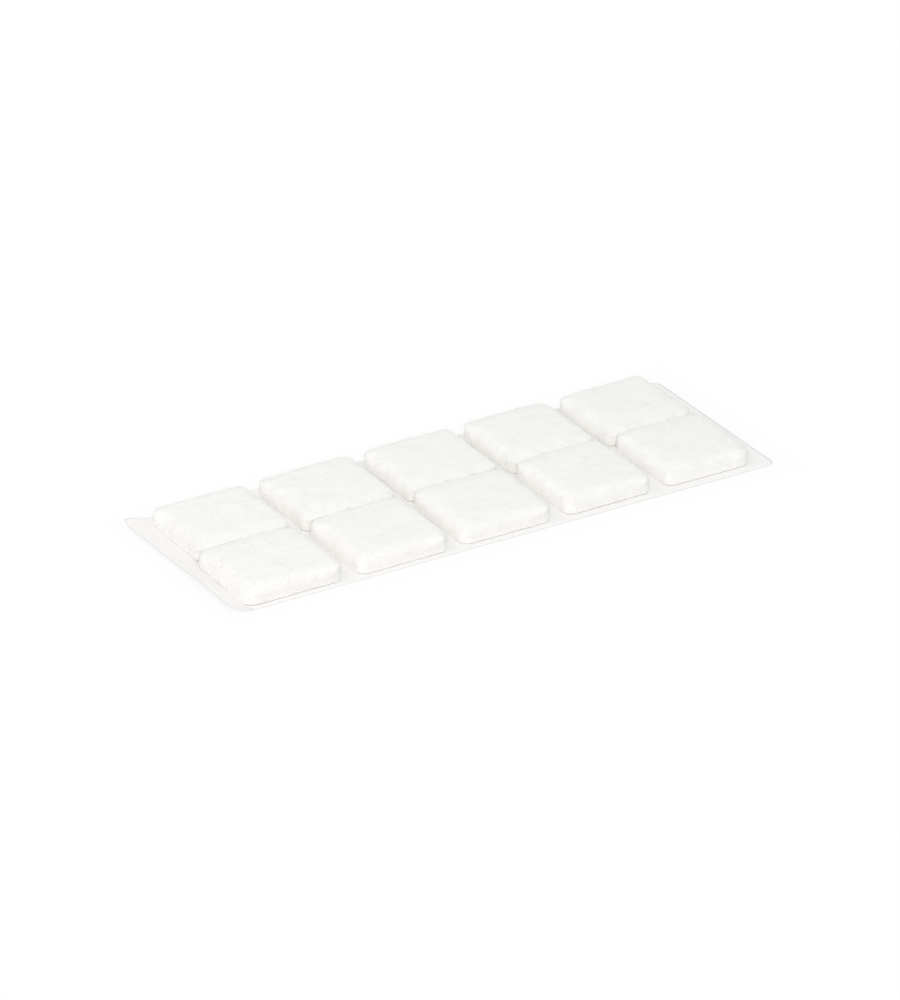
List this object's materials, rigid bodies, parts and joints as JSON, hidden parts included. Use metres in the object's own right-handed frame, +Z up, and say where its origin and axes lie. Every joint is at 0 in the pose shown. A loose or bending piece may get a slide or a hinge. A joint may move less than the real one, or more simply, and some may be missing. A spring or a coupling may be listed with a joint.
{
  "type": "furniture slider",
  "caption": "Sheet of square white self-adhesive felt furniture sliders set in rows on a release liner; each pad peels off to stick under a furniture leg.",
  "frame": {"origin": "middle of the release liner's underside, on the surface that the sheet lies on", "axes": "+X along the rows of pads, towards the right end; +Y from the front row to the back row; +Z up, the way the pads lift off"},
  "size_m": [0.1584, 0.0588, 0.0047],
  "materials": {
    "white_felt": "matte",
    "adhesive_film": "gloss",
    "release_paper": "satin"
  },
  "bodies": {
    "liner": {"release_liner": "release_paper"},
    "pad_front_1": {"felt_pad_front_1": "white_felt", "adhesive_front_1": "adhesive_film"},
    "pad_front_2": {"felt_pad_front_2": "white_felt", "adhesive_front_2": "adhesive_film"},
    "pad_front_3": {"felt_pad_front_3": "white_felt", "adhesive_front_3": "adhesive_film"},
    "pad_front_4": {"felt_pad_front_4": "white_felt", "adhesive_front_4": "adhesive_film"},
    "pad_front_5": {"felt_pad_front_5": "white_felt", "adhesive_front_5": "adhesive_film"},
    "pad_back_1": {"felt_pad_back_1": "white_felt", "adhesive_back_1": "adhesive_film"},
    "pad_back_2": {"felt_pad_back_2": "white_felt", "adhesive_back_2": "adhesive_film"},
    "pad_back_3": {"felt_pad_back_3": "white_felt", "adhesive_back_3": "adhesive_film"},
    "pad_back_4": {"felt_pad_back_4": "white_felt", "adhesive_back_4": "adhesive_film"},
    "pad_back_5": {"felt_pad_back_5": "white_felt", "adhesive_back_5": "adhesive_film"}
  },
  "joints": [
    {"name": "peel_front_1", "type": "slide", "parent": "liner", "child": "pad_front_1", "axis": [0, 0, 1], "range_m": [0, 0.03]},
    {"name": "peel_front_2", "type": "slide", "parent": "liner", "child": "pad_front_2", "axis": [0, 0, 1], "range_m": [0, 0.03]},
    {"name": "peel_front_3", "type": "slide", "parent": "liner", "child": "pad_front_3", "axis": [0, 0, 1], "range_m": [0, 0.03]},
    {"name": "peel_front_4", "type": "slide", "parent": "liner", "child": "pad_front_4", "axis": [0, 0, 1], "range_m": [0, 0.03]},
    {"name": "peel_front_5", "type": "slide", "parent": "liner", "child": "pad_front_5", "axis": [0, 0, 1], "range_m": [0, 0.03]},
    {"name": "peel_back_1", "type": "slide", "parent": "liner", "child": "pad_back_1", "axis": [0, 0, 1], "range_m": [0, 0.03]},
    {"name": "peel_back_2", "type": "slide", "parent": "liner", "child": "pad_back_2", "axis": [0, 0, 1], "range_m": [0, 0.03]},
    {"name": "peel_back_3", "type": "slide", "parent": "liner", "child": "pad_back_3", "axis": [0, 0, 1], "range_m": [0, 0.03]},
    {"name": "peel_back_4", "type": "slide", "parent": "liner", "child": "pad_back_4", "axis": [0, 0, 1], "range_m": [0, 0.03]},
    {"name": "peel_back_5", "type": "slide", "parent": "liner", "child": "pad_back_5", "axis": [0, 0, 1], "range_m": [0, 0.03]}
  ]
}
